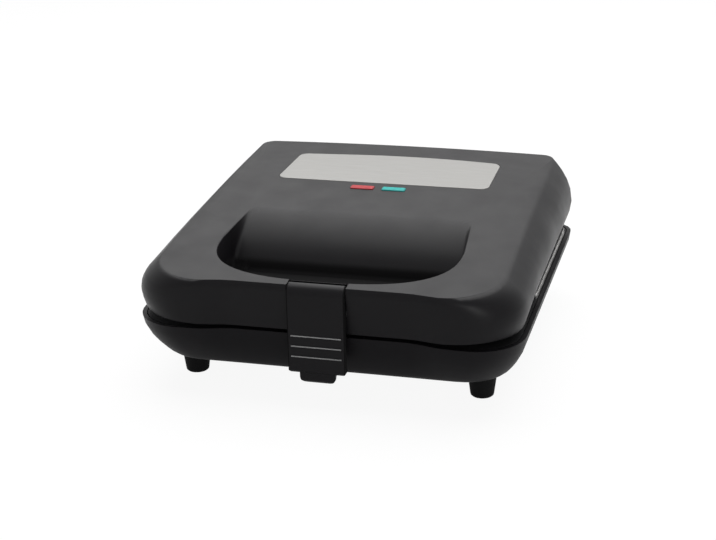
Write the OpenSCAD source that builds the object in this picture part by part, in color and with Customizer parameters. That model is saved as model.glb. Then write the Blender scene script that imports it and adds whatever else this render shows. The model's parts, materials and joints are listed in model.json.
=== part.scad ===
// Two-slice sandwich toaster: a sloping hinged lid over a dished base, a finger recess
// moulded into the top of the lid, a front latch and a pair of facing cooking plates.
// +Z up, -Y to the front, origin under the middle of the toaster on the table.

/* [Overall] */
// Width across the widest part of the base
body_w = 230.6; // [222:0.1:250]
// Depth from the ribs on the latch to the back of the hinge knuckles
body_d = 236; // [230:1:250]
// Height of the underside above the table
foot_h = 14.5; // [12:0.5:20]
// Height of the base housing, from the underside to its rim
base_h = 29.1; // [27:0.1:36]
// Moulded wall of both housings
wall = 2.6; // [2:0.1:3]

/* [Lid] */
// Height of the lid above the rim of the base, at the middle
lid_h = 41.85; // [39:0.05:50]
// How much higher the back of the lid is than its front
lid_rise = 16.4; // [10:0.1:20]
// Crown of the lid's top over its depth
lid_crown = 3; // [1:0.1:5]
// Gap between rim and lid at the front
gap_front = 2.2; // [1.8:0.1:3]
// Gap between rim and lid at the sides and back
gap_side = 4.4; // [4:0.1:5.4]
// How far the sides of the lid roll in towards the top
lid_roll = 13.9; // [10:0.1:16]
// How far the lower edge of the lid tucks in
lid_tuck = 4.7; // [4:0.1:6]
// How much less it tucks in at the front corners
corner_ease = 2.3; // [0:0.1:3]
// How far the corners stand in front of the middle of the front face
front_bulge = 4.6; // [2:0.1:5]

/* [Finger recess] */
// Width of the recess in the top of the lid
recess_w = 148; // [130:1:156]
// Length of the recess from its front edge to its widest line
recess_front = 50; // [44:1:56]
// Width of the bar left in front of the recess
bar_w = 7.1; // [6.6:0.1:9]
// Where the recess runs out into the top, in front of the middle
recess_end = 12; // [6:1:16]
// Height of the recess's floor above the seam
recess_lift = 12.7; // [11.9:0.1:16.4]
// Length of the slope that runs down to the floor
slope_l = 40; // [34:1:41]

/* [Badge and lamps] */
// Width of the bare metal plate on the lid
badge_w = 132; // [110:1:140]
// Depth of the plate at its sides
badge_d = 49; // [40:1:52]
// How far the plate's back edge is bowed
badge_bow = 5; // [0:0.5:6]
// Thickness of the plate
badge_t = 1.2; // [0.8:0.1:1.6]
// Width of a lamp lens
lens_w = 15.4; // [10:0.1:18]
// Depth of a lamp lens
lens_d = 6; // [4:0.1:8]
// Space between the two lenses
lens_gap = 5.2; // [4:0.1:10]

/* [Plates] */
// Depth of the cooking plates, front to back
plate_d = 135; // [130:1:140]
// Thickness of the lower plate's edge
plate_t = 3.5; // [3:0.1:3.6]
// Flat edge of the upper plate outside each hollow
cell_edge = 8.2; // [7:0.1:14]
// Flat rib between the two hollows
cell_rib = 5; // [4:0.1:10]
// Depth of the hollow for one slice, front to back
cell_d = 113; // [100:1:118]
// How deep each hollow is
cell_h = 9.5; // [6:0.5:10]
// Diameter of the tubular heating elements
element_dia = 6.5; // [5:0.1:7]

/* [Latch and hinge] */
// Width of the latch
latch_w = 33.6; // [28:0.1:40]
// Width of the tab under the latch
tab_w = 21; // [14:1:24]
// Diameter of the latch pin
latch_pin_dia = 3; // [2.5:0.1:3.4]
// Diameter of the hinge pins
hinge_pin_dia = 4; // [3:0.1:4.4]
// Distance of each hinge from the middle
hinge_x = 70; // [50:1:85]

/* [Feet and cord] */
// Diameter of a foot where it meets the base
foot_dia = 18.6; // [16:0.1:20]
// Diameter of a foot at the table
foot_tip_dia = 14; // [11:0.5:15]
// Distance of the feet from the middle, side to side
foot_x = 88; // [78:0.5:89]
// Diameter of the cord's hole through the gland
cord_dia = 6.6; // [5:0.1:8]

/* [Hidden] */
$fn = 40;
e = 0.01;
clear = 0.25;                         // between pieces that sit in one another
half_w = body_w / 2;
front_y = -body_d / 2;
back_y = body_d / 2;
rim_z = foot_h + base_h;
recess_z = rim_z + recess_lift;
face_in = 7;                          // middle of the rim behind the front-most line
back_in = 5;                          // back wall in front of the back-most line
knuckle_r = 4;                        // radius of the hinge knuckles
upper_plate_w = 2 * (half_w - lid_tuck - wall - 0.5);
cell_w = (upper_plate_w - cell_rib) / 2 - cell_edge;
cell_x = (cell_w + cell_rib) / 2;

// ---------- outlines ----------
function smooth(t) = let(u = min(max(t, 0), 1)) u * u * (3 - 2 * u);
function lerp(a, b, t) = a + (b - a) * t;
function both(half) = concat(half, [for (i = [len(half) - 2:-1:1]) [-half[i].x, half[i].y]]);

// Right half of a housing outline, from the middle of the front to the middle of the back
function housing_half(w, yf, yb, rf, rb) = concat(
    [for (i = [0:10]) [(w - rf) * i / 10, yf]],
    [for (i = [1:9]) [w - rf + rf * sin(10 * i), yf + rf - rf * cos(10 * i)]],
    [for (i = [1:6]) [w, lerp(yf + rf, yb - rb, i / 6)]],
    [for (i = [1:5]) [w - rb + rb * cos(18 * i), yb - rb + rb * sin(18 * i)]],
    [for (i = [1:8]) [(w - rb) * (1 - i / 8), yb]]);

// Rises from 0 in the middle of the width to 1 at the sides
function to_side(x) = smooth((abs(x) / half_w - 0.5) / 0.42);

// Corners stand forward of the middle of the front, and the back is bowed
function bend(p, bulge, bow, flare = 0) = [
    p.x + sign(p.x) * flare * smooth((-p.y / back_y - 0.35) / 0.35),
    p.y - bulge * smooth((abs(p.x) / half_w - 0.44) / 0.2)
              * smooth((-p.y / back_y - 0.42) / 0.4)
        + bow * (1 - pow(p.x / half_w, 2)) * smooth((p.y / back_y - 0.5) / 0.4)];

// Right half of an outline of the finger recess: a blunt curve in front, straight at the back
function recess_half(a, b, tip, yb) = concat(
    [for (i = [0:16]) [a * pow(sin(90 * i / 16), 0.74),
                       recess_y - b * pow(cos(90 * i / 16), 0.74)]],
    [for (i = [1:14]) [lerp(a, tip, i / 14), lerp(recess_y, yb - 3, i / 14)]],
    [for (i = [1:5]) [tip - 3 + 3 * cos(18 * i), yb - 3 + 3 * sin(18 * i)]],
    [for (i = [1:3]) [(tip - 3) * (1 - i / 3), yb]]);

// Closed outline with every corner of P rounded to r
function rounded(P, r, n = 4) = [for (i = [0:len(P) - 1]) let(
    b = P[i],
    ua = P[(i + len(P) - 1) % len(P)] - b, va = P[(i + 1) % len(P)] - b,
    u = ua / norm(ua), v = va / norm(va),
    s = norm(u + v) / 2,
    c = b + (u + v) / norm(u + v) * r / sqrt(1 - s * s),
    p = b + u * r * s / sqrt(1 - s * s), q = b + v * r * s / sqrt(1 - s * s),
    a0 = atan2(p.y - c.y, p.x - c.x), a1 = atan2(q.y - c.y, q.x - c.x),
    d = a1 - a0 + (a1 - a0 > 180 ? -360 : a1 - a0 < -180 ? 360 : 0))
    for (k = [0:n]) c + r * [cos(a0 + d * k / n), sin(a0 + d * k / n)]];

function box(x, y) = [[-x / 2, -y / 2], [x / 2, -y / 2], [x / 2, y / 2], [-x / 2, y / 2]];

// Solid between rings of equally many points, the first and last closed flat or to a point
module skin(rings, pole0 = undef, pole1 = undef) {
    n = len(rings[0]);
    m = len(rings);
    pts = concat([for (r = rings) each r], pole0 == undef ? [] : [pole0, pole1]);
    sides = [for (k = [0:m - 2]) for (i = [0:n - 1]) let(
        a = k * n + i, b = k * n + (i + 1) % n, c = b + n, d = a + n)
        each [[a, c, b], [a, d, c]]];
    flat = [[for (i = [0:n - 1]) i], [for (i = [n - 1:-1:0]) (m - 1) * n + i]];
    fans = [for (i = [0:n - 1]) let(j = (i + 1) % n)
        each [[m * n, i, j], [(m - 1) * n + j, (m - 1) * n + i, m * n + 1]]];
    polyhedron(pts, concat(sides, pole0 == undef ? flat : fans), convexity = 8);
}

module along_x(len) { translate([-len / 2, 0, 0]) rotate([90, 0, 90]) linear_extrude(len) children(); }
module rod(d, len) { rotate([0, 90, 0]) cylinder(d = d, h = len, center = true); }
module at_feet() { for (p = foot_at) translate([p.x, p.y, 0]) children(); }

// ---------- base ----------
base_bottom_in = 13.7;
base_round = 3.5;
floor_t = 2.4;
rim_dip = 0.4;                        // sides of the rim below its front
floor_z = foot_h + floor_t;
function base_in(g) = base_bottom_in * pow(g, 1.7) + base_round * pow(max(0, (g - 0.88) / 0.12), 2);
function base_plan(g, off = 0) = [for (p = both(housing_half(
    half_w - base_in(g) - off, front_y + face_in + base_in(g) + off,
    back_y - back_in - base_in(g) - off, 29.5 - off - 4.8 * g, 15 - off)))
    bend(p, front_bulge * (1 - g), 0)];
function base_ring(g, off = 0, z = undef) = [for (p = base_plan(g, off))
    [p.x, p.y, z == undef ? rim_z - base_h * g - rim_dip * (1 - g) * to_side(p.x) : z]];

foot_front_y = front_y + 41;
foot_rear_y = back_y - 36;
foot_at = [[-foot_x, foot_front_y], [foot_x, foot_front_y],
           [-foot_x, foot_rear_y], [foot_x, foot_rear_y]];
screw_dia = 3;
screw_hole = screw_dia + 0.4;
boss_dia = 9;
foot_boss_h = 7.5;
frame_front_y = front_y + face_in + base_in(0.88) + wall + boss_dia / 2 + 3;
frame_rear_y = back_y - back_in - base_in(0.88) - wall - boss_dia / 2 - 0.5;
frame_at = [for (s = [-1, 1]) each [[s * foot_x * 0.66, frame_front_y], [s * hinge_x * 0.57, frame_rear_y]]];
cord_z = lerp(floor_z, rim_z, 0.4);
gland_dia = cord_dia + 4;
gland_y = back_y - back_in;           // outer face of the pad that the gland sits on
pad_t = 13;
notch_w = 30;
notch_lo = rim_z - 6;

module base_shell() {
    color("#26262a") difference() {
        union() {
            skin(concat([for (g = [1, 0.97, 0.92, 0.85, 0.74, 0.6, 0.42, 0.2, 0]) base_ring(g)],
                        [for (g = [0, 0.12, 0.25, 0.4, 0.55, 0.7]) base_ring(g, wall)],
                        [base_ring(0.88, wall, floor_z)]),
                 [0, 0, foot_h], [0, 0, floor_z]);
            at_feet() translate([0, 0, floor_z - 1]) cylinder(d = boss_dia, h = foot_boss_h + 1);
            translate([block_x + pole_pitch / 2, block_y, floor_z - 1])
                cylinder(d = 7.5, h = block_lift + 1);
            translate([0, gland_y - pad_t, cord_z]) rotate([-90, 0, 0])
                cylinder(d = gland_dia + 8, h = pad_t);
        }
        at_feet() translate([0, 0, foot_h - 1]) cylinder(d = screw_dia + 0.1, h = foot_boss_h + 1);
        translate([block_x + pole_pitch / 2, block_y, foot_h + 0.8]) cylinder(d = 2.6, h = 10);
        for (p = frame_at) translate([p.x, p.y, foot_h - 1]) {
            cylinder(d = screw_hole, h = floor_t + 2);
            cylinder(d = 7, h = 1 + floor_t / 2);
        }
        for (s = [-1, 1]) translate([s * hinge_x, back_y, notch_lo + base_h / 2])
            cube([notch_w, 30, base_h], center = true);
        translate([0, gland_y - 20, cord_z]) rotate([-90, 0, 0]) cylinder(d = gland_dia + 0.2, h = 30);
    }
}

// Moulded frame that closes the base, carries the plate and ends in the hinge ears
frame_t = 2.4;
base_frame_z = rim_z - rim_dip - 0.2;
base_frame_g = (rim_z - base_frame_z + frame_t) / base_h;
hinge_y = back_y - knuckle_r;
hinge_z = rim_z + gap_front + 0.2;
ear_w = 5;
knuckle_w = 13;
ear_step = (knuckle_w + ear_w + 0.8) / 2;
open_w = 2 * cell_x + cell_w + 2;
open_d = cell_d + 6;
plate_back = back_y - 18;
plate_y = plate_back - plate_d / 2;

module ear(zf, w) {
    along_x(w) difference() {
        union() {
            translate([hinge_y, hinge_z]) circle(r = knuckle_r);
            polygon([[hinge_y - 14, zf], [hinge_y - 14, zf + frame_t], [hinge_y - 6, zf + frame_t],
                     [hinge_y - 1.2, hinge_z + (zf > hinge_z ? 3.8 : 2)],
                     [hinge_y + 2, hinge_z - (zf > hinge_z ? 1 : 3.4)], [hinge_y - 6, zf]]);
        }
        translate([hinge_y, hinge_z]) circle(d = hinge_pin_dia + 0.08);
    }
}

module base_frame() {
    color("#2b2b2e") difference() {
        union() {
            translate([0, 0, base_frame_z - frame_t]) linear_extrude(frame_t) difference() {
                polygon(base_plan(base_frame_g, wall + clear));
                translate([0, plate_y]) polygon(rounded(box(open_w, open_d), 6));
                for (s = [-1, 1]) translate([s * hinge_x, back_y])
                    square([knuckle_w + 1, 22], center = true);
            }
            for (s = [-1, 1]) for (k = [-1, 1])
                translate([s * hinge_x + k * ear_step, 0, 0]) ear(base_frame_z - frame_t, ear_w);
            for (p = frame_at) translate([p.x, p.y, floor_z])
                cylinder(d = boss_dia, h = base_frame_z - floor_z - 1);
        }
        for (p = frame_at) translate([p.x, p.y, floor_z - 1]) cylinder(d = screw_dia + 0.1, h = 15);
    }
}

// Tapered foot, screwed up into the frame through the underside
foot_bore = 8;
module foot(x, y) {
    color("#1c1c1e") translate([x, y, 0]) rotate_extrude() polygon(concat(
        [[screw_hole / 2, foot_h], [screw_hole / 2, foot_bore], [3.8, foot_bore], [3.8, 0]],
        [for (a = [0:30:90]) [foot_tip_dia / 2 - 1.5 + 1.5 * sin(a), 1.5 - 1.5 * cos(a)]],
        [[foot_dia / 2 - 0.8, foot_h - 1.6], [foot_dia / 2, foot_h]]));
}
module screw(len, d = screw_dia) {
    head_h = 0.6 * d;
    cylinder(d = d, h = len);
    translate([0, 0, -head_h]) difference() {
        cylinder(d = 2 * d, h = head_h);
        for (a = [0, 90]) rotate(a) cube([1.3 * d, 0.3 * d, head_h], center = true);
    }
}
module foot_screws() {
    color("#9a9a9e") at_feet() translate([0, 0, foot_bore]) screw(foot_h + foot_boss_h - foot_bore - 0.5);
}
module base_frame_screws() {
    color("#9a9a9e") for (p = frame_at) translate([p.x, p.y, foot_h + floor_t / 2]) screw(4.4 * screw_dia);
}

// Three-pole block that joins the cord to the wiring
block_x = -18;
block_y = frame_rear_y - 1.5;
block_lift = 3;
pole_pitch = 8;
module terminal_block() {
    color("#c9c3b4") translate([block_x, block_y, floor_z + block_lift]) difference() {
        union() {
            linear_extrude(3) square([3 * pole_pitch, 9], center = true);
            for (k = [-1:1]) translate([k * pole_pitch, 0, 0])
                linear_extrude(9.5) square([pole_pitch - 1.6, 9], center = true);
        }
        for (k = [-1:1]) translate([k * pole_pitch, 0, 4.6]) {
            rotate([90, 0, 0]) cylinder(d = 3.6, h = 12, center = true);
            cylinder(d = 3.2, h = 10);
        }
        translate([pole_pitch / 2, 0, -1]) cylinder(d = 2.9, h = 6);
        translate([pole_pitch / 2, 0, 3]) cylinder(d = 5.8, h = 10);
    }
}
module terminal_screw() {
    color("#9a9a9e") translate([block_x + pole_pitch / 2, block_y, floor_z + block_lift + 3])
        mirror([0, 0, 1]) screw(7, 2.5);
}

lip_t = 2.6;
module cord_gland() {
    color("#161618") translate([0, gland_y, cord_z]) rotate([-90, 0, 0]) difference() {
        union() {
            translate([0, 0, -pad_t - lip_t]) cylinder(d = gland_dia, h = pad_t + lip_t + 1);
            cylinder(d = gland_dia + 4, h = lip_t);
            translate([0, 0, -pad_t - lip_t]) cylinder(d = gland_dia + 2.4, h = lip_t - 0.1);
        }
        translate([0, 0, -pad_t - 2 * lip_t]) cylinder(d = cord_dia, h = pad_t + 4 * lip_t);
    }
}

// ---------- cooking plates ----------
// One plate with its flange's meeting face at z = 0 and the hollows sunk below it
tub_t = 2.4;
post_z = cell_h + tub_t + element_dia + 1.3;
sensor_z = cell_h + tub_t + 0.6;      // meeting face of the thermostat, below the plate's
sensor_at = [[0, -12], [0, 12]];
post_at = [[0, -cell_d * 0.4], [0, cell_d * 0.4], [-cell_w * 0.53, 0], [cell_w * 0.53, 0]];

function shrink(P, d) = let(
    a = norm(P[1] - P[2]), b = norm(P[2] - P[0]), c = norm(P[0] - P[1]), s = a + b + c,
    mid = (a * P[0] + b * P[1] + c * P[2]) / s,
    area = abs((P[1].x - P[0].x) * (P[2].y - P[0].y) - (P[2].x - P[0].x) * (P[1].y - P[0].y)) / 2,
    r = 2 * area / s) [for (p = P) mid + (p - mid) * (r - d) / r];
function hollow_ring(P, d, r, z) = [for (p = rounded(shrink(P, d), r)) [p.x, p.y, z]];

module hollow(P, grow, sink) {
    skin([hollow_ring(P, 15 - grow, 7, -cell_h - sink),
          hollow_ring(P, 9.5 - grow, 8, -cell_h * 0.86 - sink),
          hollow_ring(P, 4.5 - grow, 9, -cell_h * 0.45 - sink),
          hollow_ring(P, 2.6 - grow, 10, sink > 0 ? -plate_t / 2 : e)]);
}
module hollows(grow, sink) {
    for (s = [0, 1]) mirror([s, 0, 0]) translate([cell_x, 0, 0]) {
        c = box(cell_w, cell_d);
        hollow([c[0], c[1], c[2]], grow, sink);
        hollow([c[0], c[2], c[3]], grow, sink);
    }
}
module plate(w, t, sensor = false) {
    difference() {
        union() {
            translate([0, 0, -t]) linear_extrude(t) polygon(rounded(box(w, plate_d), 9, 5));
            hollows(1.9, tub_t);
            for (p = post_at) translate([p.x, p.y, -post_z]) cylinder(d = 7, h = post_z - 1);
            if (sensor) for (p = sensor_at) translate([p.x, p.y, -sensor_z])
                cylinder(d = 6, h = sensor_z - 1);
        }
        hollows(0, 0);
        for (p = post_at) translate([p.x, p.y, -post_z - 1]) cylinder(d = 2.8, h = 8);
        if (sensor) for (p = sensor_at) translate([p.x, p.y, -sensor_z - 1]) cylinder(d = 2.6, h = 7);
    }
}
lower_plate_z = base_frame_z + plate_t;
upper_plate_z = lower_plate_z + 0.4;
lower_plate_w = 2 * (half_w - wall - 0.9);
upper_plate_t = plate_t - 1;

module lower_plate() {
    color("#8d8d90") translate([0, plate_y, lower_plate_z]) plate(lower_plate_w, plate_t, true);
}
module upper_plate() {
    color("#8d8d90") translate([0, plate_y, upper_plate_z])
        mirror([0, 0, 1]) plate(upper_plate_w, upper_plate_t);
}

// Tubular element: a flat loop against the back of the hollows, its cold ends to one side
element_r = element_dia / 2;
reflector_w = open_w - 14;
reflector_d = plate_d - 28;
reflector_t = 0.8;
loop_y = cell_d * 0.23;
loop_x = reflector_w / 2 - 4 - element_r - loop_y;
cold_x = reflector_w / 2 - 12;
cold_dia = 2.6;
element_z = -cell_h - tub_t - element_r - 0.05;
module element() {
    translate([0, 0, element_z]) {
        for (s = [-1, 1]) translate([(cold_x - loop_x) / 2, s * loop_y, 0])
            rod(element_dia, cold_x + loop_x);
        translate([-loop_x, 0, 0]) rotate(90)
            rotate_extrude(angle = 180) translate([loop_y, 0]) circle(element_r);
        for (s = [-1, 1]) translate([cold_x + 7, s * loop_y, 0]) rod(cold_dia, 16);
    }
}
// Pressed sheet behind the element, with a turned-up edge
module reflector() {
    t = reflector_t;
    translate([0, 0, -post_z - t]) difference() {
        linear_extrude(5) polygon(rounded(box(reflector_w, reflector_d), 8));
        translate([0, 0, t]) linear_extrude(5)
            polygon(rounded(box(reflector_w - 2 * t, reflector_d - 2 * t), 8 - t));
        for (p = post_at) translate([p.x, p.y, -1]) cylinder(d = 3.2, h = 4);
        for (s = [-1, 1]) translate([reflector_w / 2, s * loop_y, 4])
            cube([4 * t, cold_dia + 2, 6], center = true);
    }
}
// Screws that hold the reflector to the plate's posts
module plate_screws() {
    for (p = post_at) translate([p.x, p.y, -post_z - reflector_t]) screw(6.5, 2.7);
}
module lower_plate_screws() {
    color("#9a9a9e") translate([0, plate_y, lower_plate_z]) {
        plate_screws();
        for (p = sensor_at) translate([p.x, p.y, -sensor_z - 1]) screw(6, 2.5);
    }
}
module upper_plate_screws() {
    color("#9a9a9e") translate([0, plate_y, upper_plate_z]) mirror([0, 0, 1]) plate_screws();
}
// Disc thermostat on its bracket, pressed up to the middle of the lower plate
module thermostat() {
    color("#3a3a40") translate([0, plate_y, lower_plate_z - sensor_z]) difference() {
        union() {
            translate([0, 0, -1]) linear_extrude(1) polygon(rounded(box(8, 31), 3));
            translate([0, 0, -6.4]) cylinder(d = 15, h = 6);
        }
        for (p = sensor_at) translate([p.x, p.y, -3]) cylinder(d = 2.9, h = 4);
        for (p = sensor_at) translate([p.x, p.y, -11]) cylinder(d = 6, h = 10);
    }
}
module lower_element() { color("#6b6660") translate([0, plate_y, lower_plate_z]) element(); }
module upper_element() {
    color("#6b6660") translate([0, plate_y, upper_plate_z]) mirror([0, 0, 1]) element();
}
module lower_reflector() { color("#b9b9bb") translate([0, plate_y, lower_plate_z]) reflector(); }
module upper_reflector() {
    color("#b9b9bb") translate([0, plate_y, upper_plate_z]) mirror([0, 0, 1]) reflector();
}

// ---------- lid ----------
widest = 0.36;                        // its height, as a share of the lid's
mid_z = rim_z + lid_h;
recess_y = front_y + face_in - 4.7 + bar_w + recess_front;
function top_z(y) = mid_z + lid_rise * y / body_d - lid_crown * pow(2 * y / body_d, 2);
function edge_z(p) = rim_z + lerp(gap_front, gap_side,
    max(to_side(p.x), smooth(p.y / back_y * 2 + 1)));
function tucked(f) = f < widest ? pow(1 - f / widest, 1.5) : 0;
function lid_in(f) = lid_tuck * tucked(f)
    + lid_roll * pow(max(0, (f - widest) / (1 - widest)), 2.1);
function lid_plan(f, off = 0) = [for (p = both(housing_half(
    half_w - lid_in(f) - off,
    front_y + face_in - 4.9 * f + 1.6 * pow(max(0, (f - 0.9) / 0.1), 2) + off,
    back_y - back_in - 1.5 * f * f - off, 32.6 - 1.4 * f - off, 15 - 7 * f * f - off)))
    bend(p, lerp(front_bulge, 2.4, f), 5.4 * f, corner_ease * tucked(f))];
function lid_ring(f, off = 0) = [for (p = lid_plan(f, off))
    [p.x, p.y, lerp(edge_z(p), top_z(p.y), f)]];
function on_top(plan, drop = 0) = [for (p = plan) [p.x, p.y, top_z(p.y) - drop]];
function mix(A, B, t) = [for (i = [0:len(A) - 1]) lerp(A[i], B[i], t)];

// Ring of the recess, set in from its lip by side, front and back, sunk by a share of its depth
function recess_plan(side, front, back) = both(recess_half(
    recess_w / 2 - side, recess_front - front, recess_w / 2 - 3.5 - side, -recess_end - back));
function slope(u) = 1 - pow(1 - pow(min(max(u, 0), 1), 2.1), 0.75);
function recess_ring(side, front, back, share = 1, skin_t = 0) = [for (p = recess_plan(side, front, back))
    [p.x, p.y, lerp(top_z(p.y), recess_z,
                    share * slope((-recess_end + 0.8 * skin_t - p.y) / slope_l)) - skin_t]];
// Where the slope is sampled, along it from its top
slope_at = [9, 16, 22, 27, 31, 34.5, 37.2, 39, 40.1] * slope_l / 40;

lip = recess_plan(0, 0, 0);
inner_lip = recess_plan(-2.2, -2.2, -1.8);
slot_w = latch_w + 1.2;
slot_z = top_z(front_y) - 16.8;
latch_pin_y = front_y + 6;
latch_pin_z = slot_z + 9.5;
cheek = 4.6;
lid_frame_z = upper_plate_z + upper_plate_t;
lid_boss_at = [for (s = [-1, 1]) each [[s * (half_w - 29), front_y + 32],
                                       [s * hinge_x * 0.57, back_y - 13.5]]];
badge_y = back_y - 79;
lens_y = badge_y - 9.2;
lens_x = (lens_w + lens_gap) / 2;
badge_x = 3.5;
holder_z = wall + 6;                  // top of the lamp holder's ears below the lid's top
holder_x = lens_x + lens_w / 2 + 10;
badge_tilt = atan((top_z(badge_y + badge_d) - top_z(badge_y)) / badge_d);

module at_lens(s) {
    translate([s * lens_x, lens_y, top_z(lens_y)])
        rotate([atan(top_z(lens_y + 0.5) - top_z(lens_y - 0.5)), 0, 0]) children();
}
// Plate outline from its front edge, c larger all round, narrower in front on the left
function badge_outline(c) = let(
    w = badge_w / 2 + c,
    P = rounded([[-w + 7, -c], [w, -c], [w, badge_d + c], [-w, badge_d + c]], 5.5 + c, 5))
    [for (p = concat([for (i = [0:17]) P[i]],
                     [for (i = [1:7]) lerp(P[17], P[18], i / 8)],
                     [for (i = [18:23]) P[i]]))
     [p.x, p.y + badge_bow * (1 - pow(p.x / w, 2)) * max(0, p.y / badge_d)]];
module at_badge() { translate([badge_x, badge_y, top_z(badge_y)]) rotate([badge_tilt, 0, 0]) children(); }

module latch_block() {
    along_x(slot_w + 2 * cheek) polygon([
        [front_y + 6.7, slot_z - 4], [front_y + 3.9, slot_z + 16],
        [front_y + 9, slot_z + 16], [front_y + 9.7, slot_z - 4]]);
}

module lid_shell() {
    color("#2a2a2e") difference() {
        union() {
            skin(concat(
                [for (i = [8:-1:0]) recess_ring(2.5 + 0.5 * i, 2 + 1.5 * i, slope_at[i] - 2, 1, wall)],
                [recess_ring(-1.1, -0.3, -0.6, 1, wall),
                 on_top(inner_lip, wall),
                 on_top(mix(inner_lip, lid_plan(1, wall), 0.5), wall),
                 on_top(lid_plan(1, wall), wall)],
                [for (f = [0.88, 0.6, 0.36, 0.2, 0.1, 0]) lid_ring(f, wall)],
                [for (f = [0, 0.1, 0.22, 0.38, 0.55, 0.7, 0.83, 0.93, 1]) lid_ring(f)],
                [for (t = [0.25, 0.62]) on_top(mix(lid_plan(1), lip, t))],
                [on_top(lip),
                 recess_ring(0.8, 0.8, 1, 0.04),
                 recess_ring(1.5, 1.5, 2, 0.86),
                 recess_ring(3.3, 3.3, 4)],
                [for (i = [0:8]) recess_ring(4.5 + 0.5 * i, 4.5 + 1.5 * i, slope_at[i])]),
                [0, recess_y - 15, recess_z - wall], [0, recess_y - 15, recess_z]);
            latch_block();
            at_lens(0) for (s = [-1, 1]) translate([s * holder_x, 0, -holder_z])
                cylinder(d = 7, h = holder_z - 1);
            for (p = lid_boss_at) translate([p.x, p.y, lid_frame_z + frame_t])
                cylinder(d = 8, h = top_z(p.y) - lid_frame_z - frame_t - wall / 2);
        }
        translate([-slot_w / 2, front_y - 10, slot_z]) cube([slot_w, 24.5, 60]);
        translate([0, latch_pin_y, latch_pin_z]) rod(latch_pin_dia + 0.08, slot_w + 2 * cheek + 2);
        for (s = [-1, 1]) translate([s * hinge_x, back_y - 2, rim_z])
            cube([notch_w, 30, 18], center = true);
        for (p = lid_boss_at) translate([p.x, p.y, lid_frame_z]) cylinder(d = screw_dia + 0.1, h = 14);
        at_lens(0) for (s = [-1, 1]) translate([s * holder_x, 0, -holder_z - 1]) cylinder(d = 2.6, h = 7);
        for (s = [-1, 1]) at_lens(s) translate([0, 0, -6])
            linear_extrude(12) polygon(rounded(box(lens_w + 0.3, lens_d + 0.3), 1.4));
        at_badge() translate([0, 0, -badge_t + 0.2]) linear_extrude(10) polygon(badge_outline(clear));
    }
}

// Moulded frame that closes the lid, carries the upper plate and ends in the hinge knuckles
module lid_frame() {
    color("#2b2b2e") difference() {
        union() {
            translate([0, 0, lid_frame_z]) linear_extrude(frame_t) difference() {
                polygon(lid_plan(0.04, wall + clear));
                translate([0, plate_y]) polygon(rounded(box(open_w, open_d), 6));
                for (s = [-1, 1]) for (k = [-1, 1])
                    translate([s * hinge_x + k * ear_step, back_y])
                        square([ear_w + 1.4, 24], center = true);
            }
            for (s = [-1, 1]) translate([s * hinge_x, 0, 0]) ear(lid_frame_z, knuckle_w);
        }
        for (p = lid_boss_at) translate([p.x, p.y, lid_frame_z - 1]) cylinder(d = screw_hole, h = 6);
    }
}
module lid_frame_screws() {
    color("#9a9a9e") for (p = lid_boss_at) translate([p.x, p.y, lid_frame_z]) screw(4 * screw_dia);
}

module badge_plate() {
    color("#c4c2bd") at_badge() translate([0, 0, -badge_t + 0.2])
        linear_extrude(badge_t) polygon(badge_outline(0));
}
module lens(s) {
    at_lens(s) {
        translate([0, 0, -wall - 0.6]) linear_extrude(wall + 1) polygon(rounded(box(lens_w, lens_d), 1.2));
        translate([0, 0, -wall - 1.6])
            linear_extrude(1.2) polygon(rounded(box(lens_w + 3, lens_d + 2), 1.2));
    }
}
// Tray under the lenses, with a pocket for each lamp
module lamp_holder() {
    color("#d8d4c8") at_lens(0) difference() {
        union() {
            translate([0, 0, -holder_z - 1.6])
                linear_extrude(1.5) polygon(rounded(box(2 * holder_x + 9, 10), 4));
            for (s = [-1, 1]) translate([s * lens_x, 0, -holder_z - 1.6])
                linear_extrude(holder_z - wall - 0.2) polygon(rounded(box(lens_w + 2, lens_d + 4), 1.5));
        }
        for (s = [-1, 1]) translate([s * lens_x, 0, -holder_z - 0.4])
            linear_extrude(10) polygon(rounded(box(lens_w, lens_d + 2), 1));
        for (s = [-1, 1]) translate([s * holder_x, 0, -holder_z - 3]) cylinder(d = 2.9, h = 6);
    }
}
module lamp_holder_screws() {
    color("#9a9a9e") at_lens(0) for (s = [-1, 1]) translate([s * holder_x, 0, -holder_z - 1.6])
        screw(6, 2.5);
}
module lamps() {
    r = 2;
    color("#e8c9b0") for (s = [-1, 1]) at_lens(s) translate([-5, 0, r - holder_z - 0.35]) rotate([0, 90, 0])
        rotate_extrude() polygon(concat([[0, 0]], [for (a = [30:30:90]) [r * sin(a), r - r * cos(a)]],
                                        [[r, 9], [0.8, 10], [0, 10]]));
}
module power_lens() { color("#c8302c") lens(-1); }
module ready_lens() { color("#2f9c86") lens(1); }

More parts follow.
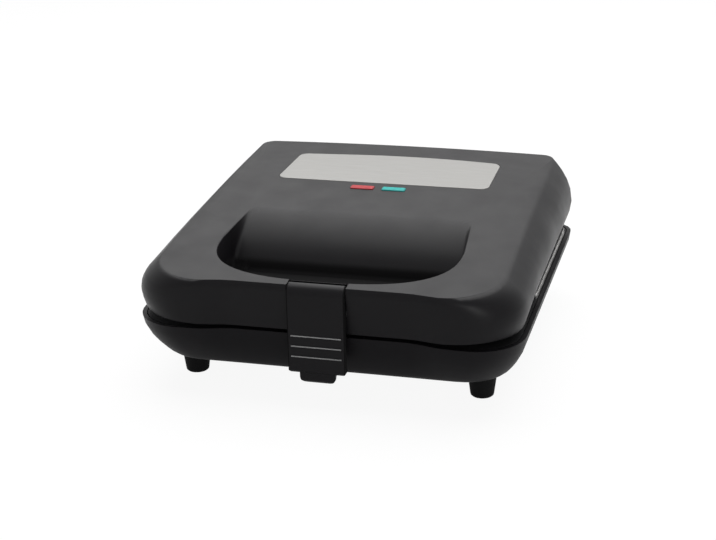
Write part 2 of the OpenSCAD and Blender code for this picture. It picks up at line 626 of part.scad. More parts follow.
// ---------- latch ----------
latch_face = front_y + 0.6;
latch_back = front_y + 9.5;
latch_top = top_z(latch_back) + 0.1;
latch_low = foot_h + 7.8;
tab_low = foot_h + 1.6;
nose_y = front_y + face_in - 0.4;
latch_in = front_y + 4;
function latch_side() = concat(
    [for (a = [0:15:90]) [lerp(latch_face, latch_back - 3, 1 - sin(a)), latch_top - 6 * (1 - cos(a))]],
    [[latch_face, latch_low + 1.2], [latch_face + 1, latch_low], [latch_face + 1, tab_low + 1.4],
     [latch_face + 2.2, tab_low], [latch_in - 0.2, tab_low], [latch_in, latch_low - 2],
     [nose_y, latch_low - 1], [nose_y, latch_low + 1], [latch_in, latch_low + 3.5],
     [latch_in, slot_z - 0.5], [latch_in + 2.4, slot_z + 3.2], [latch_back, slot_z + 3.6],
     [latch_back, latch_top - 0.3], [latch_back - 0.8, latch_top]]);
module latch() {
    color("#2a2a2e") difference() {
        union() {
            intersection() {
                along_x(latch_w) polygon(latch_side());
                rotate([90, 0, 0]) linear_extrude(body_d) {
                    translate([0, (latch_low + latch_top + 2) / 2])
                        polygon(rounded(box(latch_w, latch_top + 2 - latch_low), 1.6));
                    translate([0, (tab_low + latch_low + 6) / 2])
                        polygon(rounded(box(tab_w, latch_low + 6 - tab_low), 3.5));
                }
            }
            for (i = [0:2]) translate([0, latch_face + 0.2, latch_low + 10 + 6.3 * i]) rod(1.6, latch_w - 4);
        }
        translate([0, latch_pin_y, latch_pin_z]) rod(latch_pin_dia + 0.1, latch_w + 2);
    }
}
module latch_pin() {
    color("#9a9a9e") translate([0, latch_pin_y, latch_pin_z]) rod(latch_pin_dia, slot_w + 2 * cheek - 1);
}
module hinge_pin(s) {
    color("#9a9a9e") translate([s * hinge_x, hinge_y, hinge_z])
        rod(hinge_pin_dia, knuckle_w + 2 * ear_w + 1);
}

base_shell();
base_frame();
foot(foot_at[0].x, foot_at[0].y);  // foot_front_left
foot(foot_at[1].x, foot_at[1].y);  // foot_front_right
foot(foot_at[2].x, foot_at[2].y);  // foot_rear_left
foot(foot_at[3].x, foot_at[3].y);  // foot_rear_right
foot_screws();
base_frame_screws();
lower_plate();
lower_element();
lower_reflector();
lower_plate_screws();
thermostat();
terminal_block();
terminal_screw();
hinge_pin(-1);  // hinge_pin_left
hinge_pin(1);  // hinge_pin_right
cord_gland();
lid_shell();
lid_frame();
lid_frame_screws();
upper_plate();
upper_element();
upper_reflector();
upper_plate_screws();
badge_plate();
power_lens();
ready_lens();
lamp_holder();
lamp_holder_screws();
lamps();
latch_pin();
latch();
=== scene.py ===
"""Sandwich toaster: finishes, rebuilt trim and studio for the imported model."""

import json
from math import cos, radians, sin

import bpy
from mathutils import Matrix, Vector

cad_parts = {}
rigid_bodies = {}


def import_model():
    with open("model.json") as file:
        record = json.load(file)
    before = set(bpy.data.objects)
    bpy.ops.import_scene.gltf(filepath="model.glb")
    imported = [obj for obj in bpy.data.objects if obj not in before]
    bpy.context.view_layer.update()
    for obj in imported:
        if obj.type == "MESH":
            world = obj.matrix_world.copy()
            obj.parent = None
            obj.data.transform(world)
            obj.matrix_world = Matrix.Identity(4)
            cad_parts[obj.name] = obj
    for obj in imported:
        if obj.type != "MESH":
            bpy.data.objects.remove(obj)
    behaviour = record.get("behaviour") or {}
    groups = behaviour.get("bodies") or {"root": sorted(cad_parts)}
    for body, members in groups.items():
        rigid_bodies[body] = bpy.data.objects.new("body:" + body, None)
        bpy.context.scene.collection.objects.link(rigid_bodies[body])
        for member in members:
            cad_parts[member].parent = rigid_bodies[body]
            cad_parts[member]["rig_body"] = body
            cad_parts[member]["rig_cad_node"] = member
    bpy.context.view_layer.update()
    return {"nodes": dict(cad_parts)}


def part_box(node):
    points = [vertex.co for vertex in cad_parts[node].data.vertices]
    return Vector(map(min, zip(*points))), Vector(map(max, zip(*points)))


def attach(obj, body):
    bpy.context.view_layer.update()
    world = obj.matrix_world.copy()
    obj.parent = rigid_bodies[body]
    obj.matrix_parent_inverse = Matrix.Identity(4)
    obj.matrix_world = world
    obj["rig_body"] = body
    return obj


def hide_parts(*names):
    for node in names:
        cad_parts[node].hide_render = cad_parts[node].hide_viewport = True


bl_info = {
    "name": "Sandwich Toaster",
    "version": (1, 0, 0),
    "blender": (4, 5, 0),
    "location": "View3D > Sidebar > Toaster",
    "description": "Finishes a sandwich toaster's housings, latch, plates and trim and sets up its studio",
    "category": "Add Mesh",
}

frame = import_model()

# Modelling, in metres and degrees
MERGE_GAP = 0.000002  # vertices closer than this become one
FLAT_ANGLE = 0.4  # faces within this angle of each other join into one
BEVEL_ANGLE = 35  # edges sharper than this are bevelled
BEVEL_SEGMENTS = 3
LATCH_BEVEL = 0.0003
BADGE_BEVEL = 0.00035
LENS_BEVEL = 0.0005
OUTLINE_REACH = 0.001  # vertices this close to the badge's outline move with it
BADGE_END = 0.02  # length of the badge's left end
GROOVE_DEPTH = 0.002  # depth of the line across the latch's top
SMOOTH_MOULDED = 40  # moulded edges under this angle are shaded smooth
SMOOTH_GLASS = 50

# Where painted shade, painted highlights and the plates' bare rims lie on a piece, in metres
RECESS_HALF = 0.079  # half the width of the painted shade in the finger recess
RECESS_FRONT = 0.010  # from the front of the lid to the recess
RECESS_REAR = -0.036
RECESS_HEIGHTS = (0.050, 0.066)  # painted shade darkens the recess between these heights
RECESS_FADE = 0.005
SLOT_LENGTH = 0.018  # from the front of the lid to the end of the painted shade in the latch's slot
SLOT_HEIGHTS = (0.0555, 0.0625)
SLOT_FADE = 0.0005
LATCH_SIDE = 0.0005  # how far in from its sides painted shade darkens the latch
BEYOND = 0.001  # what a mask reaches past a surface that it takes in whole
MARK_FADE = 0.0002
RIB_COUNT = 3
RIB_EDGE = 0.0008  # height of the painted highlight on a rib
GROOVE_SHADE = (0.0022, 0.0003)  # painted shade darkens the groove between these depths
GROOVE_FADE = 0.0001
PLATE_EDGE = 0.0006  # how far in from its rim a plate is bare
LENS_RIM = (0.002, 0.0014)  # width of a lens's rim of painted shade, across and along
LENS_FADE = 0.0008

# Shares and levels
SHADED_COLOUR = 0.25  # share of their colour that places with painted shade keep
SHADED_ROUGH = 0.95
SIDE_ROUGH = 0.9
RIB_ROUGH = 0.5

# Stage
FLOOR_SIZE = 12
FLOOR_DROP = 0.0002  # the floor lies this far under the feet
FLOOR_WHITE = (0.45, 0.92)  # share of plain white in reflections, and to the camera
SENSOR_WIDTH = 36  # in mm

# Name; place, aim, width and depth in metres; and the setting that holds the power
LAMPS = (
    ("Overhead", (0.0, 0.3, 1.2), (0.0, -0.03, 0.07), 1.5, 1.2, "key"),
    ("Back", (0.05, 1.28, 1.03), (0.0, 0.0, 0.07), 2.2, 0.5, "back"),
    ("Right", (0.62, -0.95, 0.22), (0.09, -0.08, 0.05), 0.35, 0.3, "fill"),
)


# ---------- properties ----------
def colour(name, description, default):
    """A colour property with no alpha."""
    return bpy.props.FloatVectorProperty(
        name=name, description=description, subtype="COLOR", size=3, min=0, max=1, default=default
    )


class TOASTER_PG_finish(bpy.types.PropertyGroup):
    """Colours and surface values of the toaster's pieces."""

    housing: colour("Housing", "Moulded plastic of the lid, base and latch", (0.0042, 0.0038, 0.0046))
    frames: colour("Frames", "Matt plastic of the inner frames", (0.011, 0.011, 0.012))
    feet: colour("Feet", "Moulded feet", (0.0025, 0.0025, 0.0027))
    # Painted highlight along the latch's ribs, where they catch the light
    ribs: colour("Latch ribs", "Painted light edges of the latch's finger ribs", (0.24, 0.24, 0.24))
    plate_metal: colour("Plate metal", "Bare edge of the cooking plates", (0.62, 0.61, 0.60))
    plate_coat: colour("Plate coat", "Non-stick coat inside the plates", (0.020, 0.020, 0.021))
    badge: colour("Badge", "Bare metal plate on the lid", (0.205, 0.202, 0.193))
    badge_front_out: bpy.props.FloatProperty(
        name="Badge front", description="Front left corner beyond the solid's",
        default=0.014, unit="LENGTH",
    )
    badge_rear_out: bpy.props.FloatProperty(
        name="Badge rear", description="Rear left corner beyond the solid's",
        default=0.007, unit="LENGTH",
    )
    red: colour("Red lens", "Power lamp lens", (0.36, 0.026, 0.032))
    green: colour("Green lens", "Ready lamp lens", (0.010, 0.31, 0.29))
    # Painted shade around the edges of the lenses
    lens_rim_shade: bpy.props.FloatProperty(
        name="Lens rim", description="Share of the lens's colour left at its edges",
        default=0.65, min=0, max=1,
    )
    steel: colour("Steel", "Pins and screws", (0.55, 0.55, 0.56))
    oxide: colour("Blackened steel", "Latch pin", (0.02, 0.02, 0.022))
    sheath: colour("Element", "Heat-dulled sheath of the elements", (0.16, 0.14, 0.125))
    reflector: colour("Reflector", "Pressed sheet behind the elements", (0.66, 0.66, 0.67))
    ceramic: colour("Ceramic", "Terminal block and lamp tray", (0.62, 0.58, 0.50))
    glass: colour("Lamp glass", "Neon lamps under the lenses", (0.85, 0.62, 0.45))
    housing_rough: bpy.props.FloatProperty(
        name="Housing roughness", description="Roughness of the moulded plastic",
        default=0.41, min=0.1, max=1,
    )
    rib_line: bpy.props.FloatProperty(
        name="Rib line", description="In front of this line the latch is rib",
        default=-0.11748, unit="LENGTH",
    )
    # Painted shade in the slot behind the latch
    slot_half: bpy.props.FloatProperty(
        name="Slot", description="Half the width of the shaded slot behind the latch",
        default=0.0176, unit="LENGTH",
    )
    groove_y: bpy.props.FloatProperty(
        name="Groove", description="Middle of the line across the latch's top",
        default=-0.1107, unit="LENGTH",
    )
    groove_w: bpy.props.FloatProperty(
        name="Groove width", description="Width of the line across the latch's top",
        default=0.0024, unit="LENGTH",
    )
    rib_first: bpy.props.FloatProperty(
        name="First rib", description="Height of the lowest rib above the tab's end",
        default=0.0160, unit="LENGTH",
    )
    rib_step: bpy.props.FloatProperty(
        name="Rib step", description="Distance from rib to rib", default=0.0063, unit="LENGTH"
    )
    grain: bpy.props.FloatProperty(
        name="Grain", description="Size of the moulded grain", default=0.00035, min=0.0001, unit="LENGTH"
    )


class TOASTER_PG_stage(bpy.types.PropertyGroup):
    """Camera and lights."""

    azimuth: bpy.props.FloatProperty(
        name="Azimuth", description="Camera angle to the right of straight ahead",
        subtype="ANGLE", default=radians(15.2),
    )
    elevation: bpy.props.FloatProperty(
        name="Elevation", description="Camera angle above level", subtype="ANGLE", default=radians(20.55)
    )
    roll: bpy.props.FloatProperty(
        name="Roll", description="Camera turn about its view", subtype="ANGLE", default=radians(-1.28)
    )
    distance: bpy.props.FloatProperty(
        name="Distance", description="Camera to the aim point", default=0.99844, unit="LENGTH"
    )
    aim: bpy.props.FloatVectorProperty(
        name="Aim", description="Point in the middle of the view", size=3,
        subtype="TRANSLATION", default=(-0.00714, 0.00298, 0.0409),
    )
    lens: bpy.props.FloatProperty(name="Lens", description="Focal length in mm", default=79.02)
    key: bpy.props.FloatProperty(name="Key", description="Power of the overhead light in W", default=24.0)
    back: bpy.props.FloatProperty(name="Back", description="Power of the light behind in W", default=8.0)
    fill: bpy.props.FloatProperty(name="Fill", description="Power of the side light in W", default=2.4)
    world: bpy.props.FloatProperty(name="World", description="Strength of the room light", default=0.2)


# ---------- materials ----------
class Finish:
    """A material on Object coordinates, with short calls for its nodes."""

    def __init__(self, name, base, roughness, metallic=0.0):
        """Start from a Principled surface."""
        self.material = bpy.data.materials.new(name)
        self.material.use_nodes = True
        self.material.diffuse_color = (*base, 1)
        self.tree = self.material.node_tree
        self.surface = self.tree.nodes["Principled BSDF"]
        self.base = base
        self.set("Base Color", (*base, 1))
        self.set("Roughness", roughness)
        self.set("Metallic", metallic)
        self.place = self.tree.nodes.new("ShaderNodeTexCoord").outputs["Object"]

    def set(self, socket, value):
        """Give one of the surface's own sockets a value."""
        self.surface.inputs[socket].default_value = value

    def node(self, kind, inputs=(), **settings):
        """Add a node; inputs pairs socket names with values or outputs."""
        made = self.tree.nodes.new("ShaderNode" + kind)
        for key, value in settings.items():
            setattr(made, key, value)
        for socket, value in dict(inputs).items():
            if isinstance(value, bpy.types.NodeSocket):
                self.tree.links.new(value, made.inputs[socket])
            else:
                made.inputs[socket].default_value = value
        return made

    def noise(self, size, detail=2.0, stretch=(1, 1, 1)):
        """Noise whose features are about size metres across."""
        mapped = self.node("Mapping", {"Vector": self.place, "Scale": stretch})
        return self.node(
            "TexNoise", {"Vector": mapped.outputs[0], "Scale": 1 / size, "Detail": detail}
        ).outputs["Fac"]

    def span(self, factor, low, high):
        """Map a factor near 0.5 to a range."""
        return self.node("MapRange", {
            "Value": factor, "From Min": 0.3, "From Max": 0.7, "To Min": low, "To Max": high,
        }).outputs[0]

    def mottle(self, factor, low, high):
        """Vary the base colour by a factor, between two shares of itself."""
        ramp = self.node("ValToRGB", {"Fac": factor})
        ramp.color_ramp.elements[0].position = 0.3
        ramp.color_ramp.elements[1].position = 0.7
        ramp.color_ramp.elements[0].color = (*(c * low for c in self.base), 1)
        ramp.color_ramp.elements[1].color = (*(c * high for c in self.base), 1)
        self.tree.links.new(ramp.outputs[0], self.surface.inputs["Base Color"])
        return ramp.outputs[0]

    def invert(self, mask):
        """1 where the mask is 0."""
        return self.node("Math", {0: 1.0, 1: mask}, operation="SUBTRACT").outputs[0]

    def rough(self, factor, low, high):
        """Vary the roughness by a factor."""
        self.tree.links.new(self.span(factor, low, high), self.surface.inputs["Roughness"])

    def inside(self, low, high, soft):
        """1 inside the box from low to high, fading to 0 over soft metres."""
        split = self.node("SeparateXYZ", {"Vector": self.place})
        total = None
        for axis in range(3):
            for edge, sign in ((low[axis], 1), (high[axis], -1)):
                step = self.node("MapRange", {
                    "Value": split.outputs[axis], "From Min": edge, "From Max": edge + sign * soft,
                }, interpolation_type="SMOOTHSTEP").outputs[0]
                total = step if total is None else self.node(
                    "Math", {0: total, 1: step}, operation="MULTIPLY").outputs[0]
        return total

    def change(self, mask, colour=None, roughness=None):
        """Take another colour or roughness where the mask is 1."""
        if colour:
            before = self.surface.inputs["Base Color"].links[0].from_socket
            mix = self.node("MixRGB", {"Fac": mask, "Color1": before, "Color2": (*colour, 1)})
            self.tree.links.new(mix.outputs[0], self.surface.inputs["Base Color"])
        if roughness:
            before = self.surface.inputs["Roughness"].links[0].from_socket
            mix = self.node("MapRange", {"Value": mask, "To Min": before, "To Max": roughness})
            self.tree.links.new(mix.outputs[0], self.surface.inputs["Roughness"])

    def bump(self, factor, depth, strength=1.0):
        """Raise the surface by a factor, depth metres high."""
        raised = self.node("Bump", {"Height": factor, "Distance": depth, "Strength": strength})
        self.tree.links.new(raised.outputs[0], self.surface.inputs["Normal"])


def moulded(name, base, roughness, grain, sheen=0.12):
    """Spark-textured plastic, slightly uneven in tone and sheen."""
    made = Finish(name, base, roughness)
    made.set("Specular IOR Level", sheen)
    made.mottle(made.noise(0.05), 0.94, 1.06)
    made.rough(made.noise(0.02, 3), roughness - 0.03, roughness + 0.04)
    made.bump(made.noise(grain, 1), grain * 0.05, 0.5)
    return made


def darker(base, share=SHADED_COLOUR):
    """A share of a colour, used for painted shade."""
    return tuple(channel * share for channel in base)


def white_rays(tree):
    """1 for the rays that should meet a white background."""
    rays = tree.nodes.new("ShaderNodeLightPath")
    total = rays.outputs["Is Camera Ray"]
    for kind in ("Is Glossy Ray", "Is Transmission Ray"):
        either = tree.nodes.new("ShaderNodeMath")
        either.operation = "MAXIMUM"
        tree.links.new(total, either.inputs[0])
        tree.links.new(rays.outputs[kind], either.inputs[1])
        total = either.outputs[0]
    return total


# ---------- modelling ----------
def alone(piece):
    """Select one object and make it active."""
    bpy.ops.object.select_all(action="DESELECT")
    piece.select_set(True)
    bpy.context.view_layer.objects.active = piece


def smooth_copy(node, material, angle=35, bevel=0.0):
    """A merged, smooth-shaded copy of a CAD node that stands for it."""
    alone(frame["nodes"][node])
    bpy.ops.object.duplicate()
    piece = bpy.context.active_object
    piece.name = node + "_skin"
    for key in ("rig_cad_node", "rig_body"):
        if key in piece:
            del piece[key]
    piece.parent = None
    piece.matrix_world = Matrix.Identity(4)
    bpy.ops.object.mode_set(mode="EDIT")
    bpy.ops.mesh.select_all(action="SELECT")
    bpy.ops.mesh.remove_doubles(threshold=MERGE_GAP)
    bpy.ops.mesh.dissolve_limited(angle_limit=radians(FLAT_ANGLE))
    bpy.ops.object.mode_set(mode="OBJECT")
    if bevel:
        edge = piece.modifiers.new("Edges", "BEVEL")
        edge.width = bevel
        edge.segments = BEVEL_SEGMENTS
        edge.limit_method = "ANGLE"
        edge.angle_limit = radians(BEVEL_ANGLE)
        edge.use_clamp_overlap = True
        bpy.ops.object.modifier_apply(modifier=edge.name)
    bpy.ops.object.shade_smooth_by_angle(angle=radians(angle))
    flats = piece.modifiers.new("Flats", "WEIGHTED_NORMAL")
    flats.keep_sharp = True
    bpy.ops.object.modifier_apply(modifier=flats.name)
    piece.data.materials.clear()
    piece.data.materials.append(material)
    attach(piece, frame["nodes"][node]["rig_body"])
    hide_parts(node)
    return piece


def widen_badge(piece, look):
    """Carry the left end of the badge's outline, or of its pocket, out to its real line."""
    low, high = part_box("badge_plate")
    marks = [vertex.co.copy() for vertex in frame["nodes"]["badge_plate"].data.vertices]
    marks = [mark for mark in marks if mark.x < low[0] + BADGE_END]
    middle = (low[1] + high[1]) / 2
    alone(piece)
    for front, shift in ((True, look.badge_front_out), (False, look.badge_rear_out)):
        ends = [mark for mark in marks if (mark.y < middle) == front]
        bpy.ops.object.mode_set(mode="EDIT")
        bpy.ops.mesh.select_mode(type="VERT")
        bpy.ops.mesh.select_all(action="DESELECT")
        bpy.ops.object.mode_set(mode="OBJECT")
        for vertex in piece.data.vertices:
            vertex.select = min((vertex.co - mark).length for mark in ends) < OUTLINE_REACH
        bpy.ops.object.mode_set(mode="EDIT")
        bpy.ops.transform.translate(value=(-shift, 0, 0))
        bpy.ops.object.mode_set(mode="OBJECT")


def groove(piece, look):
    """Cut the dark line across the top of the latch, behind its rounded front."""
    low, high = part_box("latch")
    bpy.ops.object.select_all(action="DESELECT")
    bpy.ops.mesh.primitive_cube_add(size=1, location=(0, look.groove_y, high[2]))
    cutter = bpy.context.active_object
    cutter.scale = (high[0] - low[0] + 2 * GROOVE_DEPTH, look.groove_w, 2 * GROOVE_DEPTH)
    alone(piece)
    cut = piece.modifiers.new("Groove", "BOOLEAN")
    cut.operation = "DIFFERENCE"
    cut.solver = "EXACT"
    cut.object = cutter
    bpy.ops.object.modifier_apply(modifier=cut.name)
    alone(cutter)
    bpy.ops.object.delete()


# ---------- operators ----------
class TOASTER_OT_housings(bpy.types.Operator):
    """Finish the two housings, their frames, the latch and the cord gland"""

    bl_idname = "toaster.housings"
    bl_label = "Housings"

    def execute(self, context):
        look = context.scene.toaster_finish
        black = tuple(look.housing)
        lid = moulded("lid_plastic", black, look.housing_rough, look.grain)
        low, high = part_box("lid_shell")
        # Painted shade: the finger recess and the slot behind the latch are darkened and dulled where
        # shade falls in them
        recess = lid.inside(
            (-RECESS_HALF, low[1] + RECESS_FRONT, RECESS_HEIGHTS[0]),
            (RECESS_HALF, RECESS_REAR, RECESS_HEIGHTS[1]), RECESS_FADE)
        slot = lid.inside(
            (-look.slot_half, low[1] - BEYOND, SLOT_HEIGHTS[0]),
            (look.slot_half, low[1] + SLOT_LENGTH, SLOT_HEIGHTS[1]), SLOT_FADE)
        for mask in (recess, slot):
            lid.change(mask, darker(black), SHADED_ROUGH)
        widen_badge(smooth_copy("lid_shell", lid.material, SMOOTH_MOULDED), look)
        base = moulded("base_plastic", black, look.housing_rough + 0.05, look.grain, 0.085)
        smooth_copy("base_shell", base.material, SMOOTH_MOULDED)
        latch = moulded("latch_plastic", black, look.housing_rough - 0.04, look.grain)
        low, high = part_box("latch")
        # Painted shade: the latch's sides are darkened and dulled where shade falls in the gaps beside it
        middle = latch.inside(
            (low[0] + LATCH_SIDE, low[1] - BEYOND, low[2]),
            (high[0] - LATCH_SIDE, 0, high[2] + BEYOND), MARK_FADE)
        latch.change(latch.invert(middle), darker(black), SIDE_ROUGH)
        # Painted highlight: a light band along each rib where it catches the light
        for step in range(RIB_COUNT):
            line = low[2] + look.rib_first + look.rib_step * step
            rib = latch.inside(
                (low[0], low[1] - BEYOND, line), (high[0], look.rib_line, line + RIB_EDGE), MARK_FADE)
            latch.change(rib, tuple(look.ribs), RIB_ROUGH)
        # Painted shade: the inside of the groove across the latch's top is darkened and dulled
        shade = latch.inside(
            (low[0], look.groove_y - look.groove_w / 2, high[2] - GROOVE_SHADE[0]),
            (high[0], look.groove_y + look.groove_w / 2, high[2] - GROOVE_SHADE[1]), GROOVE_FADE)
        latch.change(shade, darker(black), SHADED_ROUGH)
        groove(smooth_copy("latch", latch.material, SMOOTH_MOULDED, LATCH_BEVEL), look)
        matt = moulded("frame_plastic", tuple(look.frames), 0.6, look.grain * 1.5).material
        for node in ("lid_frame", "base_frame", "cord_gland"):
            smooth_copy(node, matt)
        return {"FINISHED"}


class TOASTER_OT_feet(bpy.types.Operator):
    """Finish the four tapered feet"""

    bl_idname = "toaster.feet"
    bl_label = "Feet"

    def execute(self, context):
        look = context.scene.toaster_finish
        foot = moulded("foot_plastic", tuple(look.feet), 0.75, look.grain).material
        for name in ("front_left", "front_right", "rear_left", "rear_right"):
            smooth_copy("foot_" + name, foot, SMOOTH_MOULDED)
        return {"FINISHED"}


class TOASTER_OT_plates(bpy.types.Operator):
    """Finish the cooking plates: bare cast edge, non-stick coat inside"""

    bl_idname = "toaster.plates"
    bl_label = "Cooking plates"

    def execute(self, context):
        look = context.scene.toaster_finish
        for node in ("lower_plate", "upper_plate"):
            low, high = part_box(node)
            made = Finish(node + "_metal", tuple(look.plate_metal), 0.38)
            split = made.node("SeparateXYZ", {"Vector": made.place})
            over = []
            for axis in (0, 1):
                away = made.node(
                    "Math", {0: split.outputs[axis], 1: (low[axis] + high[axis]) / 2}, operation="SUBTRACT"
                )
                size = made.node("Math", {0: away.outputs[0]}, operation="ABSOLUTE")
                reach = (high[axis] - low[axis]) / 2 - PLATE_EDGE
                past = made.node("Math", {0: size.outputs[0], 1: reach}, operation="GREATER_THAN")
                over.append(past.outputs[0])
            edge = made.node("Math", {0: over[0], 1: over[1]}, operation="MAXIMUM").outputs[0]
            tone = made.mottle(made.noise(0.012, 4), 0.9, 1.1)
            mix = made.node("MixRGB", {"Fac": edge, "Color1": (*look.plate_coat, 1), "Color2": tone})
            made.tree.links.new(mix.outputs[0], made.surface.inputs["Base Color"])
            made.tree.links.new(edge, made.surface.inputs["Metallic"])
            made.rough(made.noise(0.004, 4), 0.34, 0.46)
            made.bump(made.noise(0.0006, 2), 0.00003)
            smooth_copy(node, made.material)
        return {"FINISHED"}


class TOASTER_OT_heating(bpy.types.Operator):
    """Finish the elements and their reflectors"""

    bl_idname = "toaster.heating"
    bl_label = "Heating parts"

    def execute(self, context):
        look = context.scene.toaster_finish
        sheath = Finish("element_sheath", tuple(look.sheath), 0.45, 1.0)
        sheath.mottle(sheath.noise(0.02, 4), 0.7, 1.25)
        sheath.rough(sheath.noise(0.006, 3), 0.4, 0.55)
        sheath.bump(sheath.noise(0.0008, 2), 0.00002)
        sheet = Finish("reflector_sheet", tuple(look.reflector), 0.3, 1.0)
        sheet.mottle(sheet.noise(0.03, 2), 0.93, 1.05)
        sheet.rough(sheet.noise(0.01, 2, (1, 12, 1)), 0.26, 0.36)
        sheet.bump(sheet.noise(0.0005, 2, (1, 20, 1)), 0.00001)
        for side in ("lower_", "upper_"):
            smooth_copy(side + "element", sheath.material, SMOOTH_MOULDED)
            smooth_copy(side + "reflector", sheet.material)
        return {"FINISHED"}


class TOASTER_OT_fasteners(bpy.types.Operator):
    """Finish the pins and screws"""

    bl_idname = "toaster.fasteners"
    bl_label = "Fasteners"

    def execute(self, context):
        look = context.scene.toaster_finish
        steel = Finish("plated_steel", tuple(look.steel), 0.3, 1.0)
        steel.mottle(steel.noise(0.003, 3), 0.88, 1.06)
        steel.rough(steel.noise(0.002, 3), 0.24, 0.38)
        steel.bump(steel.noise(0.0004, 2, (6, 1, 1)), 0.00001)
        for node in ("foot_screws", "base_frame_screws", "lid_frame_screws", "lower_plate_screws",
                     "upper_plate_screws", "terminal_screw", "lamp_holder_screws",
                     "hinge_pin_left", "hinge_pin_right"):
            smooth_copy(node, steel.material)
        oxide = Finish("blackened_steel", tuple(look.oxide), 0.5, 1.0)
        oxide.mottle(oxide.noise(0.003, 3), 0.85, 1.1)
        oxide.rough(oxide.noise(0.002, 3), 0.42, 0.55)
        oxide.bump(oxide.noise(0.0004, 2, (6, 1, 1)), 0.00001)
        smooth_copy("latch_pin", oxide.material)
        return {"FINISHED"}


class TOASTER_OT_badge(bpy.types.Operator):
    """Finish the bare metal plate on the lid"""

    bl_idname = "toaster.badge"
    bl_label = "Badge plate"

    def execute(self, context):
        look = context.scene.toaster_finish
        satin = Finish("badge_metal", tuple(look.badge), 0.4, 0.55)
        satin.mottle(satin.noise(0.0006, 3, (0.03, 1, 1)), 0.97, 1.03)
        satin.rough(satin.noise(0.0005, 3, (0.03, 1, 1)), 0.36, 0.46)
        satin.bump(satin.noise(0.0003, 2, (0.02, 1, 1)), 0.000006)
        widen_badge(smooth_copy("badge_plate", satin.material, bevel=BADGE_BEVEL), look)
        return {"FINISHED"}


class TOASTER_OT_wiring_parts(bpy.types.Operator):
    """Finish the thermostat, the terminal block, the lamps and their tray"""

    bl_idname = "toaster.wiring_parts"
    bl_label = "Wiring parts"

    def execute(self, context):
        look = context.scene.toaster_finish
        case = moulded("thermostat_case", tuple(look.frames), 0.35, look.grain).material
        smooth_copy("thermostat", case)
        chalk = Finish("ceramic_body", tuple(look.ceramic), 0.55)
        chalk.mottle(chalk.noise(0.004, 3), 0.93, 1.04)
        chalk.rough(chalk.noise(0.002, 2), 0.5, 0.65)
        chalk.bump(chalk.noise(0.0003, 2), 0.00001)
        smooth_copy("terminal_block", chalk.material)
        smooth_copy("lamp_holder", chalk.material)
        glass = Finish("lamp_glass", tuple(look.glass), 0.06)
        glass.mottle(glass.noise(0.003, 2), 0.9, 1.1)
        glass.set("Transmission Weight", 0.6)
        smooth_copy("lamps", glass.material, SMOOTH_GLASS)
        return {"FINISHED"}


class TOASTER_OT_lenses(bpy.types.Operator):
    """Finish the red and green lenses"""

    bl_idname = "toaster.lenses"
    bl_label = "Lenses"

    def execute(self, context):
        look = context.scene.toaster_finish
        for node, tint in (("power_lens", look.red), ("ready_lens", look.green)):
            made = Finish(node + "_tint", tuple(tint), 0.3)
            made.set("Specular IOR Level", 0.07)
            made.mottle(made.noise(0.002, 2), 0.8, 1.2)
            low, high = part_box(node)
            # Painted shade: the lens is darker along its rim, where shade falls at its edges
            inner = made.inside(
                (low[0] + LENS_RIM[0], low[1] + LENS_RIM[1], 0),
                (high[0] - LENS_RIM[0], high[1] - LENS_RIM[1], 1), LENS_FADE)
            made.change(made.invert(inner), darker(tint, look.lens_rim_shade))
            made.bump(made.noise(0.0006, 1, (1, 0.05, 1)), 0.00004)
            smooth_copy(node, made.material, bevel=LENS_BEVEL)
        return {"FINISHED"}


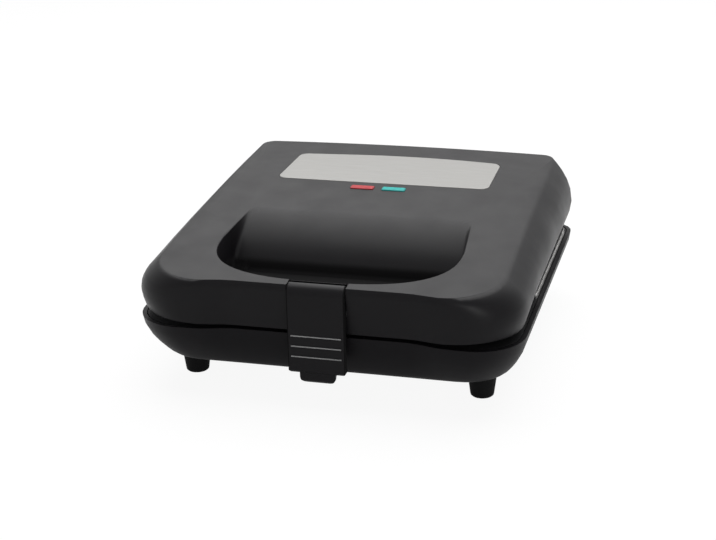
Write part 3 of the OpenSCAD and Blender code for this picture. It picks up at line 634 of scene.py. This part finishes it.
class TOASTER_OT_stage(bpy.types.Operator):
    """Set up the floor, the lights and the camera"""

    bl_idname = "toaster.stage"
    bl_label = "Stage"

    def execute(self, context):
        stage = context.scene.toaster_stage
        scene = context.scene
        self.floor()
        for *shape, power in LAMPS:
            self.light(*shape, getattr(stage, power))
        self.room(scene, stage.world)
        back = Vector((
            sin(stage.azimuth) * cos(stage.elevation),
            -cos(stage.azimuth) * cos(stage.elevation),
            sin(stage.elevation),
        ))
        right = (-back).cross(Vector((0, 0, 1))).normalized()
        up = right.cross(-back)
        turned = right * cos(stage.roll) + up * sin(stage.roll)
        upright = up * cos(stage.roll) - right * sin(stage.roll)
        data = bpy.data.cameras.new("Camera")
        data.lens = stage.lens
        data.sensor_width = SENSOR_WIDTH
        camera = bpy.data.objects.new("Camera", data)
        scene.collection.objects.link(camera)
        camera.matrix_world = Matrix.Translation(Vector(stage.aim) + back * stage.distance) @ Matrix(
            (turned, upright, back)).transposed().to_4x4()
        scene.camera = camera
        scene.view_settings.view_transform = "Standard"
        return {"FINISHED"}

    def floor(self):
        """A pale floor that keeps the toaster's shadow and reads white to the camera."""
        bpy.ops.object.select_all(action="DESELECT")
        bpy.ops.mesh.primitive_plane_add(size=FLOOR_SIZE, location=(0, 0, -FLOOR_DROP))
        floor = bpy.context.active_object
        floor.name = "Floor"
        made = Finish("floor_paper", (0.9, 0.9, 0.9), 0.9)
        made.bump(made.noise(0.002, 2), 0.00002)
        direct = made.node("LightPath").outputs["Is Camera Ray"]
        share = made.node("MapRange", {
            "Value": direct, "To Min": FLOOR_WHITE[0], "To Max": FLOOR_WHITE[1]})
        rays = white_rays(made.tree)
        share = made.node("Math", {0: rays, 1: share.outputs[0]}, operation="MULTIPLY")
        white = made.node("Emission", {"Color": (1, 1, 1, 1), "Strength": 1.0})
        blend = made.node("MixShader", {
            "Fac": share.outputs[0], 1: made.surface.outputs[0], 2: white.outputs[0]})
        made.tree.links.new(blend.outputs[0], made.tree.nodes["Material Output"].inputs["Surface"])
        floor.data.materials.append(made.material)

    def light(self, name, place, aim, wide, deep, power):
        """A soft rectangular light that faces aim."""
        data = bpy.data.lights.new(name, "AREA")
        data.shape = "RECTANGLE"
        data.size = wide
        data.size_y = deep
        data.energy = power
        lamp = bpy.data.objects.new(name, data)
        bpy.context.scene.collection.objects.link(lamp)
        lamp.location = place
        lamp.rotation_euler = (Vector(aim) - Vector(place)).to_track_quat("-Z", "Y").to_euler()

    def room(self, scene, strength):
        """A plain room: white to the camera and in reflections, dim as a light."""
        world = bpy.data.worlds.new("Room")
        scene.world = world
        world.use_nodes = True
        nodes, links = world.node_tree.nodes, world.node_tree.links
        level = nodes.new("ShaderNodeMapRange")
        level.inputs["To Min"].default_value = strength
        level.inputs["To Max"].default_value = 1.0
        links.new(white_rays(world.node_tree), level.inputs["Value"])
        links.new(level.outputs[0], nodes["Background"].inputs["Strength"])
        nodes["Background"].inputs["Color"].default_value = (1, 1, 1, 1)


class TOASTER_PT_sidebar(bpy.types.Panel):
    """Lists the toaster's pieces and settings"""

    bl_label = "Sandwich Toaster"
    bl_idname = "TOASTER_PT_sidebar"
    bl_space_type = "VIEW_3D"
    bl_region_type = "UI"
    bl_category = "Toaster"

    def draw(self, context):
        for group in (context.scene.toaster_finish, context.scene.toaster_stage):
            box = self.layout.box()
            for name in group.bl_rna.properties.keys():
                if name not in ("rna_type", "name"):
                    box.prop(group, name)
        for operator in OPERATORS:
            self.layout.operator(operator.bl_idname)


OPERATORS = (
    TOASTER_OT_housings,
    TOASTER_OT_feet,
    TOASTER_OT_plates,
    TOASTER_OT_heating,
    TOASTER_OT_fasteners,
    TOASTER_OT_wiring_parts,
    TOASTER_OT_badge,
    TOASTER_OT_lenses,
    TOASTER_OT_stage,
)
CLASSES = (TOASTER_PG_finish, TOASTER_PG_stage, *OPERATORS, TOASTER_PT_sidebar)


def register():
    """Add the classes and the two groups of settings."""
    for item in CLASSES:
        bpy.utils.register_class(item)
    bpy.types.Scene.toaster_finish = bpy.props.PointerProperty(type=TOASTER_PG_finish)
    bpy.types.Scene.toaster_stage = bpy.props.PointerProperty(type=TOASTER_PG_stage)


def unregister():
    """Take them away again."""
    del bpy.types.Scene.toaster_stage
    del bpy.types.Scene.toaster_finish
    for item in reversed(CLASSES):
        bpy.utils.unregister_class(item)


def main():
    """Build every piece in order."""
    register()
    for operator in OPERATORS:
        group, name = operator.bl_idname.split(".")
        if getattr(getattr(bpy.ops, group), name)() != {"FINISHED"}:
            raise RuntimeError(operator.bl_label + " wasn't finished")


if __name__ == "__main__":
    main()
